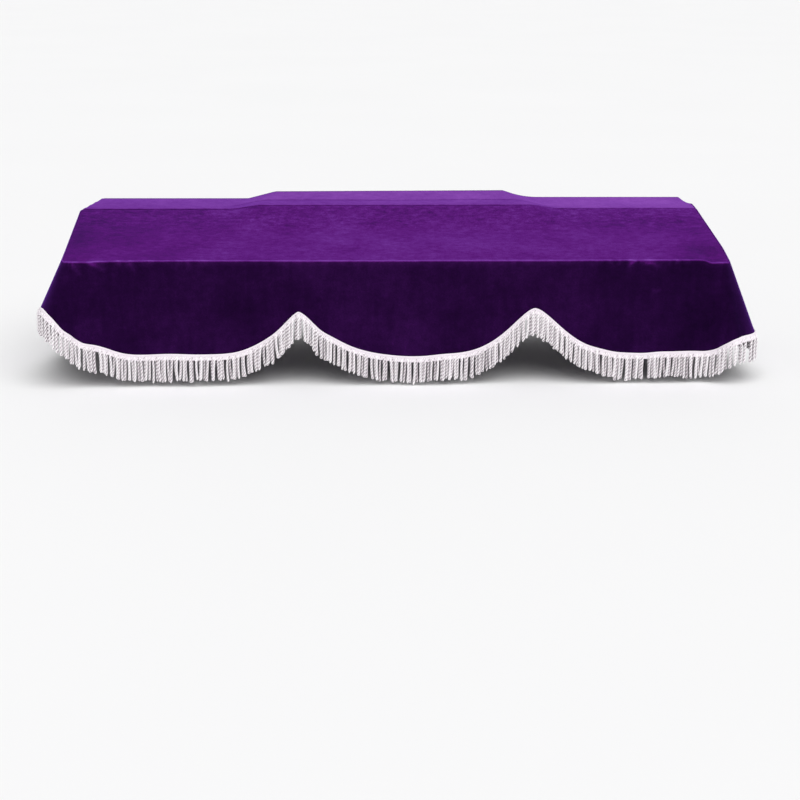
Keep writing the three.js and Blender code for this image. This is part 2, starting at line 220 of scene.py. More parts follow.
# Hanging folds: place along the rim, half width, how far each stands out at the hem, where it begins as
# a share of the drop, and how far it slants on the way down. Below the hem they go on a little.
Fold = namedtuple("Fold", "at width out start slant", defaults=(0, 0))
FOLDS = [
    Fold(-1090, 48, -5),
    Fold(-960, 60, 7),
    Fold(-735, 20, 3),
    Fold(-600, 45, 5),
    Fold(-430, 80, 5),
    Fold(-300, 45, -3),
    Fold(-90, 60, 4),
    Fold(60, 70, 7),
    Fold(190, 45, -3),
    Fold(420, 60, 5),
    Fold(560, 55, 4),
    Fold(650, 26, -3),
    Fold(694, 24, 4),
    Fold(734, 24, -3),
    Fold(950, 55, 7),
    Fold(1080, 50, -5),
    Fold(-655, 15, -1.8, 0.25, -14),
    Fold(-520, 26, -1.5, 0.4, 8),
    Fold(-365, 24, -1.3, 0.3, -6),
    Fold(-20, 26, -1.6, 0.45, 4),
    Fold(118, 22, -1.4, 0.35, 9),
    Fold(490, 24, -1.7, 0.35, -7),
    Fold(614, 16, -1.8, 0.2, 10),
    Fold(672, 11, -1.9, 0.3, 4),
    Fold(714, 9, 1.6, 0.35, 3),
]
BACK_FOLDS = [
    Fold(-420, 110, 6),
    Fold(60, 130, 5),
    Fold(480, 100, 7),
    Fold(-560, 40, -2.5, 0.2, 12),
    Fold(-210, 50, -2.6, 0.3, -10),
    Fold(270, 46, -2.4, 0.25, 9),
    Fold(590, 30, -2, 0.2, -8),
]
FOLDS_END = 1.3

# Patches lighter or darker, partly the pile brushed one way or another and partly painted light and
# shade:
# on the top by X and Y, on the skirts along the rim and down
Patch = namedtuple("Patch", "u v half_u half_v tone")
TOP_NAP_AND_PAINTED_LIGHT = [
    Patch(80, 80, 420, 90, 0.05),
    Patch(-580, 170, 170, 150, -0.06),
    Patch(560, 240, 130, 45, -0.05),
    # Painted shade by the crease that runs up from the front right corner
    Patch(645, 65, 45, 75, -0.1),
    Patch(-665, 130, 35, 140, -0.05),
    Patch(0, 300, 900, 24, -0.02),
    # Painted highlights below the fold, where the lift's flanks begin
    Patch(-355, 294, 46, 13, 0.09),
    Patch(376, 292, 50, 13, 0.09),
    Patch(120, 395, 430, 60, 0.06),
    Patch(560, 380, 200, 60, 0.1),
]
SKIRT_NAP_AND_PAINTED_LIGHT = [
    Patch(-430, 0.85, 150, 0.35, 0.05),
    Patch(40, 0.8, 180, 0.4, 0.05),
    Patch(450, 0.85, 130, 0.3, 0.02),
    Patch(-660, 0.4, 90, 0.6, -0.02),
    Patch(610, 0.5, 150, 0.6, -0.06),
    Patch(-100, 0.2, 160, 0.2, 0.03),
    Patch(330, 0.3, 70, 0.5, 0.03),
    # Painted shade where the skirt turns away at the right corner
    Patch(705, 0.3, 55, 0.5, -0.05),
]

# Tones of the top, partly the pile's own and partly painted light: the top lighter than the skirts as
# it faces the light, its rear strip lighter still with a darker front part, painted shade in the
# creases, and the stretch of the slope where the pile is ruffled
TOP_TONE = 0.5
STRIP = {"tone": 0.72, "edge": 6}
STRIP_FRONT = {"tone": -0.05, "edge": 5}
CREASE_SHADE = {"tone": -0.25, "ahead": 1, "width": 2.4, "inner_share": 0.7}
RUFFLED = {"start": 130, "end": 260, "calm": 0.45}

# Tone of the skirts, darker than the top partly by the pile and partly as painted shade; painted light
# and shade on the two sides of a fold; and how they gather under the front seam
SKIRT_TONE = 0.2
FOLD_SHADE = 0.35
SKIRT_PUCKER = {"down": 7, "width": 6, "out": 0.8}

# Painted light on the seam: a highlight line on the top, and lighter bands on the skirts that change
# with the puckers
SEAM_LINE = {"tone": 0.38, "at": 3.2, "width": 4.2}
Band = namedtuple("Band", "down width tone puckered")
SEAM_BANDS = [
    Band(0, 2.2, 0.4, 0.14),
    Band(5, 6, 0.08, 0.1),
]

# Painted highlights and painted shade on stretches of the front seam: place, half width and tone
Glint = namedtuple("Glint", "at width tone")
SEAM_GLINTS = [
    Glint(-680, 13, 0.18),
    Glint(-600, 12, -0.12),
    Glint(-570, 6, 0.16),
    Glint(-515, 45, 0.07),
    Glint(-462, 12, -0.12),
    Glint(-421, 16, 0.1),
    Glint(-333, 8, 0.16),
    Glint(-120, 90, 0.05),
    Glint(-190, 14, -0.1),
    Glint(150, 50, 0.06),
    Glint(320, 20, 0.08),
    Glint(455, 16, -0.16),
    Glint(481, 6, 0.14),
    Glint(497, 6, -0.14),
    Glint(520, 18, 0.14),
    Glint(680, 18, 0.16),
]

# Small tucks in the skirts: from a place along the rim and down from the seam to another, half width
# and height
Tuck = namedtuple("Tuck", "along down end_along end_down width out")
TUCKS = [
    Tuck(-637, 2, -606, 18, 4, 1.1),
    Tuck(-672, 6, -655, 24, 6, 1.0),
    Tuck(-560, 6, -545, 16, 5, 0.7),
    Tuck(476, 12, 488, 2, 4, 1.0),
    Tuck(500, 4, 536, 12, 5, 1.2),
    Tuck(528, 65, 542, 62, 3.5, 1.1),
    Tuck(668, 10, 656, 62, 9, 0.5),
]
# Painted highlight on the tucks, lighter where they stand out
TUCK_HIGHLIGHT = 0.12

# Heading tape of the fringe, and its section: how far below its upper edge, and how far off its face
TAPE = {"height": 13, "gap": 0.6, "thickness": 1.4, "bulge": 0.5, "overlap": 10, "step": 3}
TAPE_FACE = TAPE["gap"] + TAPE["thickness"]
TapePoint = namedtuple("TapePoint", "down out")
TAPE_SECTION = [
    TapePoint(0, -TAPE["thickness"]),
    TapePoint(0.1, -0.5),
    TapePoint(0.7, 0),
    TapePoint(1.8, TAPE["bulge"]),
    TapePoint(3, 0),
    TapePoint(6.5, 0.2),
    TapePoint(10, 0),
    TapePoint(11.2, TAPE["bulge"]),
    TapePoint(12.4, 0),
    TapePoint(12.9, -0.5),
    TapePoint(TAPE["height"], -TAPE["thickness"]),
]

# Looped strands: how they hang from the tape in two layers, how far each value is scattered, and how
# strands draw together in clumps
LOOP_COUNTS = {"front": 272, "left": 62, "right": 62}
LOOPS = {"length": 41, "uneven": 5, "tucked": 7.5, "layer": 2, "layer_by": 0.25}
SWAY = {"drift": 1.5, "drift_power": 1.3, "bow": 1.5}
SCATTER = {"place": 0.28, "tucked": 1, "layer": 0.5, "ply": 0.12, "turns": 0.4}
CLUMPS = {"fewest": 2, "most": 5, "root_draw": (0.02, 0.16), "tip_draw": (-0.08, 0.12)}

# Two plies twisted together: distance from their middle line, turns, the yarn's radius as a share of
# the distance, and how far the plies are apart at the root and spread at the tip. Then the shares of a
# yarn's tone: its own, lighter on the side away from the other ply with painted shade on the side
# towards it, and painted shade on the loops of the back layer.
PLY = {"off": 1.6, "turns": 3.4, "yarn": 0.93, "at_root": 0.45, "full_by": 1 / 6}
PLY_TIP = {"spread": 0.2, "power": 6}
YARN_SHADE = {"own": 0.3, "outer_side": 0.7, "back_layer": 0.16}

# Steps of the meshes: zones along a line, each with its own spacing, then the rows of a skirt by their
# distances below its seam and above its hem, the points of a loop, and the angle of a sharp edge
Zone = namedtuple("Zone", "start end step")
TOP_EDGE = 2.4
SIDE_EDGE = 6
TOP_ROWS = [
    Zone(0, TOP_EDGE, 0.4),
    Zone(TOP_EDGE, 16, 1.7),
    Zone(16, 296, 8),
    Zone(296, 376, 1.6),
    Zone(376, DEPTH - TOP_EDGE, 5),
    Zone(DEPTH - TOP_EDGE, DEPTH, 0.6),
]
TOP_COLUMNS = [
    Zone(0, HALF_WIDTH - SIDE_EDGE, 8),
    Zone(HALF_WIDTH - SIDE_EDGE, HALF_WIDTH - TOP_EDGE, 1.8),
    Zone(HALF_WIDTH - TOP_EDGE, HALF_WIDTH, 0.4),
]
FRONT_COLUMNS = [
    Zone(-JOIN_AT, JOIN_ROUNDING - JOIN_AT, 0.3),
    Zone(JOIN_ROUNDING - JOIN_AT, -500, 2.5),
    Zone(-500, 430, 5),
    Zone(430, JOIN_AT - JOIN_ROUNDING, 2.5),
    Zone(JOIN_AT - JOIN_ROUNDING, JOIN_AT, 0.3),
]
SIDE_COLUMNS = [
    Zone(JOIN_AT, JOIN_AT + JOIN_ROUNDING, 0.3),
    Zone(JOIN_AT + JOIN_ROUNDING, SIDE_END, 5),
    Zone(SIDE_END, RIM_END - JOIN_ROUNDING, 2.5),
    Zone(RIM_END - JOIN_ROUNDING, RIM_END, 0.3),
]
BACK_COLUMNS = [
    Zone(-FRONT_END, JOIN_ROUNDING - FRONT_END, 0.3),
    Zone(JOIN_ROUNDING - FRONT_END, FRONT_END - JOIN_ROUNDING, 8),
    Zone(FRONT_END - JOIN_ROUNDING, FRONT_END, 0.3),
]
SEAM_ROWS = [0, 0.3, 0.7, 1.2, 1.8, 2.2, 2.9, 3.6, 4.8, 6.2, 7.3, 8, 10, 12.5, 16, 20]
HEM_ROWS = [16, 13.2, 12.4, 11.6, 8, 4, 1.4, 0.7, 0.3, 0]
MIDDLE_ROWS = 30
HEM_SAMPLES = 1200
LOOP_MESH = {"leg": 22, "tip": 6, "sides": 6}
SHARP_DEGREES = 50

# Camera, floor and light
CAMERA = {"place": (-0.1948, -3.512, 0.522), "yaw": 3.57, "pitch": 15.8, "roll": 0.52}
FOCAL_PIXELS = 1550
FRAME_PIXELS = 800
SENSOR_MM = 36
FLOOR_HALF = 300
FLOOR_GAP = 0.002
SUN = {"energy": 2.6, "spread": 70, "tilt": 30, "turn": 12}
SKY_LEVELS = [(0.0, 0.95), (0.35, 0.36)]


def share(value, start, end):
    return np.clip((value - start) / (end - start), 0, 1)


def ease(amount):
    return amount * amount * (3 - 2 * amount)


def hump(distance, width):
    return np.exp(-((distance / width) ** 2))


def column(table, name):
    return np.array([getattr(row, name) for row in table], float)


# A column of a table at places between its rows
def table_at(table, at, name):
    return np.interp(at, column(table, "at"), column(table, name))


# The same with rounded turns at the rows: a cubic through them, level at both ends
def rounded_at(table, at, name):
    places, values = column(table, "at"), column(table, name)
    steepness = np.zeros(len(places))
    steepness[1:-1] = (values[2:] - values[:-2]) / (places[2:] - places[:-2])
    at = np.clip(at, places[0], places[-1])
    after = np.clip(np.searchsorted(places, at), 1, len(places) - 1)
    before = after - 1
    span = places[after] - places[before]
    t = (at - places[before]) / span
    bulge = steepness[before] * (1 - t) ** 2 * t - steepness[after] * (1 - t) * t**2
    return values[before] + (values[after] - values[before]) * ease(t) + span * bulge


# Steps along a line, from zones that each have their own spacing
def zoned_steps(zones):
    counts = [max(1, round((zone.end - zone.start) / zone.step)) for zone in zones]
    parts = [np.linspace(zone.start, zone.end, n, endpoint=False) for zone, n in zip(zones, counts)]
    return np.append(np.concatenate(parts), zones[-1].end)


# The lift's flanks are rounded at the fold. At the rear edge the left one is straight and the right one
# hollow.
def middle_lift(x, y):
    rise = share(x, table_at(LIFT, y, "left_foot"), table_at(LIFT, y, "left_top"))
    fall = share(x, table_at(LIFT, y, "right_foot"), table_at(LIFT, y, "right_top"))
    taut = share(y, FOLD_AT, DEPTH)
    rounded = ease(rise) * ease(fall)
    return table_at(LIFT, y, "height") * (rounded + (rise * fall**2 - rounded) * taut)


def corner_sag(x, y):
    past = (y - DEPTH) / LEFT_SAG["along_side"] + 1 - (x + HALF_WIDTH) / LEFT_SAG["along_rear"]
    left = LEFT_SAG["drop"] * np.maximum(0, past)
    sideways = share(x, HALF_WIDTH - RIGHT_SAG["along_rear"], HALF_WIDTH)
    backwards = share(y, DEPTH - RIGHT_SAG["along_side"], DEPTH)
    drooped = ease(share(x, FRONT_SAG["start"], FRONT_SAG["end"]))
    front = FRONT_SAG["drop"] * drooped * (1 - ease(share(y, 0, FRONT_SAG["along_side"])))
    return left + RIGHT_SAG["drop"] * sideways * backwards + front


def rear_tilt(x, y):
    to_right = share(x, REAR_TILT["start"], REAR_TILT["end"])
    return REAR_TILT["rise"] * to_right * share(y, FOLD_AT, DEPTH)


def puckers(x):
    drifted = x + PUCKER_DRIFT["shift"] * np.sin(2 * np.pi * x / PUCKER_DRIFT["length"])
    total = 0
    for pucker in PUCKERS:
        swing = np.sin(2 * np.pi * drifted / pucker.wave)
        total = total + pucker.height * hump(x - pucker.at, pucker.width) * swing
    return total


def fold_distance(x, y):
    return y - (FOLD_AT + FOLD_TILT * x)


def inner_crease(x, y):
    away = np.abs(x) - INNER_CREASE["reach"]
    strength = 1 - ease(share(away, 0, INNER_CREASE["fade"]))
    return strength * hump(y - rounded_at(INNER_BENDS, x, "y"), INNER_CREASE["width"])


def corner_crease(x, y):
    (x0, y0), (x1, y1) = CORNER_CREASE["from"], CORNER_CREASE["to"]
    length = math.hypot(x1 - x0, y1 - y0)
    run = ((x - x0) * (x1 - x0) + (y - y0) * (y1 - y0)) / length
    aside = ((x - x0) * (y1 - y0) - (y - y0) * (x1 - x0)) / length
    return (1 - ease(share(run, 0, length))) * hump(aside, CORNER_CREASE["width"])


# Height of the outer face of the top above the front seam
def top_height(x, y):
    height = FOLD_RISE * share(y, 0, FOLD_AT) + (REAR_RISE - FOLD_RISE) * share(y, FOLD_AT, DEPTH)
    height = height + middle_lift(x, y) + rear_tilt(x, y) - corner_sag(x, y)
    height += SEAM_RIDGE["height"] * hump(y, SEAM_RIDGE["width"])
    height += puckers(x) * hump(y, PUCKER_REACH)
    for s in SWELLS:
        height += s.height * hump(x - s.x, s.half_x) * hump(y - s.y, s.half_y)
    height -= FOLD_CREASE["depth"] * hump(fold_distance(x, y), FOLD_CREASE["width"])
    height -= INNER_CREASE["depth"] * inner_crease(x, y)
    return height - CORNER_CREASE["depth"] * corner_crease(x, y)


# How far an edge that rounds over falls away, at a distance in from it
def rounded_edge(distance, radius=EDGE_ROUNDING):
    inside = np.clip(radius - distance, 0, radius)
    return radius - np.sqrt(radius**2 - inside**2)


# Distance of a place on the top in from its rim
def rim_distance(x, y):
    aside = np.abs(x) - FRONT_END
    ahead = np.abs(y - DEPTH / 2) - (DEPTH / 2 - CORNER_RADIUS)
    outside = np.hypot(np.maximum(aside, 0), np.maximum(ahead, 0))
    return CORNER_RADIUS - outside - np.minimum(np.maximum(aside, ahead), 0)


# Place on the seam line and direction outwards, at distances along the rim
def rim_at(along):
    side, far = np.where(along < 0, -1, 1), np.abs(along)
    turned = share(far, FRONT_END, SIDE_START) + share(far, SIDE_END, RIM_END)
    angle = turned * np.pi / 2
    run = np.clip(far - SIDE_START, 0, SIDE_END - SIDE_START)
    out_x, out_y = side * np.sin(angle), -np.cos(angle)
    x = np.where(far <= FRONT_END, along, side * FRONT_END + CORNER_RADIUS * out_x)
    return x, CORNER_RADIUS + run + CORNER_RADIUS * out_y, out_x, out_y


def back_at(along):
    still = np.zeros_like(along)
    return along, still + DEPTH, still, still + 1


# Drop of the tape's upper edge below the front seam
def hem_drop(along):
    drop = rounded_at(LOBES, along, "drop")
    for peak in PEAKS:
        reach = np.where(along < peak.at, peak.before, peak.after)
        drop = drop - peak.rise * np.exp(-((np.abs(along - peak.at) / reach) ** peak.roundness))
    return drop + sum(wave.drop * hump(along - wave.at, wave.width) for wave in WAVES)


def fringed_hem(along):
    return -hem_drop(along) - TAPE["overlap"]


def fringed_lean(along):
    left = rounded_at(LEAN, np.abs(along), "left")
    right = rounded_at(LEAN, np.abs(along), "right")
    return np.where(along < 0, left, right)


def plain_hem(along):
    return np.full_like(along, -BACK_HEM)


def plain_lean(along):
    return np.full_like(along, BACK_LEAN)


# A skirt as functions of the distance along the rim: place, hem and lean, with its folds. One with a
# fringe (1) has puckers and tucks at its seam, and one without (0) has a stitched hem.
Skirt = namedtuple("Skirt", "place_at hem_at lean_at folds fringe")
FRINGED = Skirt(rim_at, fringed_hem, fringed_lean, FOLDS, 1)
PLAIN = Skirt(back_at, plain_hem, plain_lean, BACK_FOLDS, 0)


def skirt_top(skirt, along):
    x, y, _, _ = skirt.place_at(along)
    return top_height(x, y)


# Thickness of the leaning cloth, measured level
def skirt_thickness(skirt, along):
    return CLOTH * np.hypot(1, skirt.lean_at(along))


# How far the folds stand out, at shares of the drop
def fold_out(folds, along, down):
    out = 0
    for fold in folds:
        grown = down if fold.start == 0 else ease(share(down, fold.start, 1))
        out = out + fold.out * grown * hump(along - fold.at - fold.slant * down, fold.width)
    return out


# How far the tucks stand out, at distances down from the seam
def tuck_at(along, down):
    total = 0
    for tuck in TUCKS:
        across, below = tuck.end_along - tuck.along, tuck.end_down - tuck.down
        run = ((along - tuck.along) * across + (down - tuck.down) * below) / (across**2 + below**2)
        run = np.clip(run, 0, 1)
        away = np.hypot(along - tuck.along - run * across, down - tuck.down - run * below)
        total = total + tuck.out * hump(away, tuck.width)
    return total


# Points of a skirt at heights, a distance out from the outer face of its cloth
def skirt_points(skirt, along, height, out):
    x, y, out_x, out_y = skirt.place_at(along)
    top, hem = skirt_top(skirt, along), skirt.hem_at(along)
    below = top - height
    down = np.clip(below / (top - hem), 0, FOLDS_END)
    gathers = SKIRT_PUCKER["out"] * puckers(along)
    gathers = gathers * hump(below - SKIRT_PUCKER["down"], SKIRT_PUCKER["width"])
    stand = SEWN_GAP + skirt_thickness(skirt, along) + skirt.lean_at(along) * below
    stand = stand + fold_out(skirt.folds, along, down) + out
    stand = stand + skirt.fringe * (gathers + tuck_at(along, below))
    return np.stack([x + out_x * stand, y + out_y * stand, height + 0 * stand], axis=-1)


# The frame's zero, in millimetres from the front seam: under the middle of the rear strip
STRIP_SLOPE = (REAR_RISE - FOLD_RISE) / (DEPTH - FOLD_AT)
MOUNT_RISE = FOLD_RISE + STRIP_SLOPE * (MOUNT_AT - FOLD_AT)
MOUNT_LIFT = middle_lift(0, MOUNT_AT) + rear_tilt(0, MOUNT_AT)
ORIGIN = np.array([0, MOUNT_AT, MOUNT_RISE + MOUNT_LIFT - CLOTH])


def make_object(name, points, faces, materials, face_materials=None, sharp_degrees=None):
    mesh = bpy.data.meshes.new(name)
    mesh.from_pydata(((points - ORIGIN) / MM_PER_METRE).tolist(), [], faces)
    for material in materials:
        mesh.materials.append(material)
    if face_materials is not None:
        mesh.polygons.foreach_set("material_index", np.asarray(face_materials, np.int32))
    mesh.shade_smooth()
    if sharp_degrees is not None:
        mesh.set_sharp_from_angle(angle=math.radians(sharp_degrees))
    mesh.update()
    made = bpy.data.objects.new(name, mesh)
    bpy.context.scene.collection.objects.link(made)
    return made


def add_attribute(made, name, values):
    attribute = made.data.attributes.new(name, "FLOAT", "POINT")
    attribute.data.foreach_set("value", np.asarray(values, np.float32).ravel())


# A closed sheet between an outer and an inner grid of points, with rows from its first edge and columns
# from left to right as seen from outside. The inner face has the second material.
def sheet_object(name, outer, inner, tone, ruffled, materials):
    rows, columns = outer.shape[:2]
    count = rows * columns
    index = np.arange(count).reshape(rows, columns)
    corners = (index[:-1, :-1], index[1:, :-1], index[1:, 1:], index[:-1, 1:])
    outer_faces = np.stack([c.ravel() for c in corners], axis=1)
    inner_faces = outer_faces[:, ::-1] + count
    rim = np.concatenate([index[:-1, 0], index[-1, :-1], index[:0:-1, -1], index[0, :0:-1]])
    ahead = np.roll(rim, -1)
    edge_faces = np.stack([ahead, rim, rim + count, ahead + count], axis=1)
    faces = np.concatenate([outer_faces, edge_faces, inner_faces])
    is_inner = np.arange(len(faces)) >= len(faces) - len(inner_faces)
    points = np.concatenate([outer.reshape(-1, 3), inner.reshape(-1, 3)])
    made = make_object(name, points, faces.tolist(), materials, is_inner, SHARP_DEGREES)
    # The velvet's tone, with its painted light and shade, goes to the material as an attribute
    for attribute, values in (("velvet_tone_and_painted_light", tone), ("ruffled", ruffled)):
        add_attribute(made, attribute, np.stack([values, values]))
    return made


# Many closed tubes in one mesh, from rings of points shaped (tube, ring, point of the ring, axis), with
# each point's share of the way around and its distance along the tube
def tubes_object(name, rings, materials):
    tubes, steps, sides = rings.shape[:3]
    index = np.arange(tubes * steps * sides).reshape(tubes, steps, sides)
    turned = np.roll(index, -1, axis=2)
    corners = (index[:, :-1], turned[:, :-1], turned[:, 1:], index[:, 1:])
    walls = np.stack([c.ravel() for c in corners], axis=1).tolist()
    caps = index[:, 0, ::-1].tolist() + index[:, -1].tolist()
    made = make_object(name, rings.reshape(-1, 3), walls + caps, materials)
    runs = np.linalg.norm(np.diff(rings.mean(axis=2), axis=1), axis=-1)
    length = np.concatenate([np.zeros((tubes, 1)), np.cumsum(runs, axis=1)], axis=1)
    add_attribute(made, "around", np.broadcast_to(np.arange(sides) / sides, index.shape))
    add_attribute(made, "length", np.broadcast_to(length[:, :, None], index.shape))
    return made


# Half the width of the top, which narrows in its rounded corners
def row_half_width(y):
    inside = np.maximum(0, np.abs(y - DEPTH / 2) - (DEPTH / 2 - CORNER_RADIUS))
    return FRONT_END + np.sqrt(np.maximum(0, CORNER_RADIUS**2 - inside**2))


def patches_tone(patches, u, v):
    return sum(p.tone * hump(u - p.u, p.half_u) * hump(v - p.v, p.half_v) for p in patches)


# Painted highlights and shade along the front seam
def seam_glint(along):
    return sum(glint.tone * hump(along - glint.at, glint.width) for glint in SEAM_GLINTS)


# From 0 in front of the fold to 1 on the rear strip
def on_strip(x, y):
    return ease(share(fold_distance(x, y), 0, STRIP["edge"]))


# The top's tone: the pile's own, with painted light and shade on the rear strip, in the creases and on
# the seam
def top_tone(x, y):
    strip = on_strip(x, y)
    before_crease = ease(share(rounded_at(INNER_BENDS, x, "y") - y, 0, STRIP_FRONT["edge"]))
    tone = TOP_TONE + (STRIP["tone"] - TOP_TONE) * strip + STRIP_FRONT["tone"] * strip * before_crease
    tone = tone + patches_tone(TOP_NAP_AND_PAINTED_LIGHT, x, y)
    # Painted shade along the fold and the inner crease
    fold_shade = hump(fold_distance(x, y) + CREASE_SHADE["ahead"], CREASE_SHADE["width"])
    inner_shade = CREASE_SHADE["inner_share"] * inner_crease(x, y)
    tone = tone + CREASE_SHADE["tone"] * (fold_shade + inner_shade)
    # Painted highlight line along the front seam, with its lighter and darker stretches
    seam_painted_light = SEAM_LINE["tone"] + seam_glint(x)
    return tone + seam_painted_light * hump(y - SEAM_LINE["at"], SEAM_LINE["width"])


def make_top(materials):
    rows = zoned_steps(TOP_ROWS)[::-1]
    half = zoned_steps(TOP_COLUMNS)
    stations = np.concatenate([-half[:0:-1], half]) / HALF_WIDTH
    y = np.broadcast_to(rows[:, None], (len(rows), len(stations)))
    x = stations * row_half_width(y)
    height = top_height(x, y)
    outer = np.stack([x, y, height - rounded_edge(rim_distance(x, y))], axis=-1)
    inner = np.stack([x, y, height - CLOTH], axis=-1)
    rough = ease(share(y, RUFFLED["start"], RUFFLED["end"])) * (1 - on_strip(x, y))
    ruffled = RUFFLED["calm"] + (1 - RUFFLED["calm"]) * rough
    return sheet_object("velvet_top", outer, inner, top_tone(x, y), ruffled, materials)


# Heights of a skirt's rows, from the seam down to the hem
def skirt_heights(top, low):
    upper = top - np.array(SEAM_ROWS)[:, None]
    lower = low + np.array(HEM_ROWS)[:, None]
    shares = np.linspace(0, 1, MIDDLE_ROWS + 2)[1:-1]
    middle = upper[-1] + (lower[0] - upper[-1]) * shares[:, None]
    return np.concatenate([upper, middle, lower])


# How much thicker a skirt is on its inside, where the seam allowance is turned in
def seam_allowance(below):
    begun = share(below - SEAM_ALLOWANCE["start"], 0, SEAM_ALLOWANCE["edge"])
    before_end = share(SEAM_ALLOWANCE["end"] - below, 0, SEAM_ALLOWANCE["edge"])
    return SEAM_ALLOWANCE["reach"] * begun * before_end


def skirt_tone(skirt, along, below, down):
    # Painted light and shade on the folds: one side of each lighter, the other darker
    facing = fold_out(skirt.folds, along + 1, down) - fold_out(skirt.folds, along - 1, down)
    tone = SKIRT_TONE + patches_tone(SKIRT_NAP_AND_PAINTED_LIGHT, along, down) + FOLD_SHADE * facing / 2
    # Painted highlight on the tucks
    tone = tone + skirt.fringe * TUCK_HIGHLIGHT * tuck_at(along, below)
    # Painted light on the seam bands of the skirts, changed by the puckers and the seam's highlights
    gathers = skirt.fringe * (puckers(along) + seam_glint(along))
    for band in SEAM_BANDS:
        tone = tone + (band.tone + band.puckered * gathers) * hump(below - band.down, band.width)
    return tone


def make_skirt(name, skirt, columns, materials):
    top, low = skirt_top(skirt, columns), skirt.hem_at(columns)
    height = skirt_heights(top, low)
    along = np.broadcast_to(columns, height.shape)
    below, above_hem = top - height, height - low
    from_join = np.minimum(along - columns.min(), columns.max() - along)
    hem_roll = rounded_edge(above_hem, HEM_TURN["rounding"])
    roll = np.maximum(rounded_edge(below) + hem_roll, rounded_edge(from_join, JOIN_ROUNDING))
    stitched = (1 - skirt.fringe) * hump(above_hem - HEM_TURN["height"], HEM_STITCH["width"])
    turned_up = 1 - ease(share(above_hem, HEM_TURN["height"] - HEM_TURN["step"], HEM_TURN["height"]))
    thickness = skirt_thickness(skirt, along) + HEM_TURN["extra"] * turned_up + seam_allowance(below)
    outer = skirt_points(skirt, along, height, -roll - HEM_STITCH["depth"] * stitched)
    inner = skirt_points(skirt, along, height, hem_roll - thickness)
    tone = skirt_tone(skirt, along, below, below / (top - low)) + HEM_STITCH["tone"] * stitched
    return sheet_object(name, outer, inner, tone, np.full(tone.shape, RUFFLED["calm"]), materials)


# Fringe: a woven heading tape on the face of the hem
def make_tape(name, start, end, materials):
    along = np.linspace(start, end, math.ceil((end - start) / TAPE["step"]) + 1)
    upper = -hem_drop(along)
    edges = [skirt_points(FRINGED, along, upper - p.down, TAPE_FACE + p.out) for p in TAPE_SECTION]
    return tubes_object(name, np.stack(edges, axis=1)[None], materials)


def scatter(rng, reach, count):
    return rng.uniform(-reach, reach, count)


# Places of the loops along the rim, evenly spaced by length along the sloping hem, then shaken a little
def loop_places(start, end, count, rng):
    steps = np.linspace(start, end, HEM_SAMPLES)
    lengths = np.concatenate([[0], np.cumsum(np.hypot(np.diff(steps), np.diff(hem_drop(steps))))])
    wanted = np.arange(count) + 0.5 + scatter(rng, SCATTER["place"], count)
    return np.interp(wanted * lengths[-1] / count, lengths, steps)


# Loops hang in clumps: how far each root and each tip is drawn along the rim to the middle of its
# clump, and how much longer the clump hangs
def clumps(places, rng):
    root_draw, tip_draw, longer = np.zeros((3, len(places)))
    first = 0
    while first < len(places):
        last = min(len(places), first + rng.integers(CLUMPS["fewest"], CLUMPS["most"] + 1))
        inward = places[first:last].mean() - places[first:last]
        root_draw[first:last] = inward * rng.uniform(*CLUMPS["root_draw"])
        tip_draw[first:last] = inward * rng.uniform(*CLUMPS["tip_draw"])
        longer[first:last] = rng.uniform(-1, 1)
        first = last
    return root_draw, tip_draw, longer


DOWN = np.array([0, 0, -1])


def unit(vectors):
    return vectors / np.linalg.norm(vectors, axis=-1, keepdims=True)


# Values or directions of the loops, shaped to go with the points of each
def per_loop(values):
    return values.reshape(len(values), 1, -1)


# Directions along the rim and out from it
def rim_directions(places):
    _, _, out_x, out_y = rim_at(places)
    level = np.zeros(len(places))
    sideways = np.stack([-out_y, out_x, level], axis=-1)
    outwards = np.stack([out_x, out_y, level], axis=-1)
    return per_loop(sideways), per_loop(outwards)


# The yarn of each loop, down one leg, round the tip and up the other, and the line that it twists about
def yarn_path(spine, offset):
    tip, reach = spine[:, -1:], offset[:, -1:]
    angle = np.linspace(0, np.pi, LOOP_MESH["tip"])[1:-1, None]
    sunk = np.linalg.norm(reach, axis=-1, keepdims=True)
    curve = tip + np.cos(angle) * reach + np.sin(angle) * sunk * DOWN
    path = np.concatenate([spine + offset, curve, (spine - offset)[:, ::-1]], axis=1)
    middle = np.concatenate([spine, 0 * curve + tip, spine[:, ::-1]], axis=1)
    return path, middle


# Directions from the middle of the yarn to the points round it
def yarn_sides(path, outwards):
    tangent = unit(np.gradient(path, axis=1))
    across = unit(outwards - tangent * np.sum(tangent * outwards, axis=-1, keepdims=True))
    other = np.cross(tangent, across)
    angle = (np.arange(LOOP_MESH["sides"]) * 2 * np.pi / LOOP_MESH["sides"])[:, None]
    return np.cos(angle) * across[:, :, None] + np.sin(angle) * other[:, :, None]


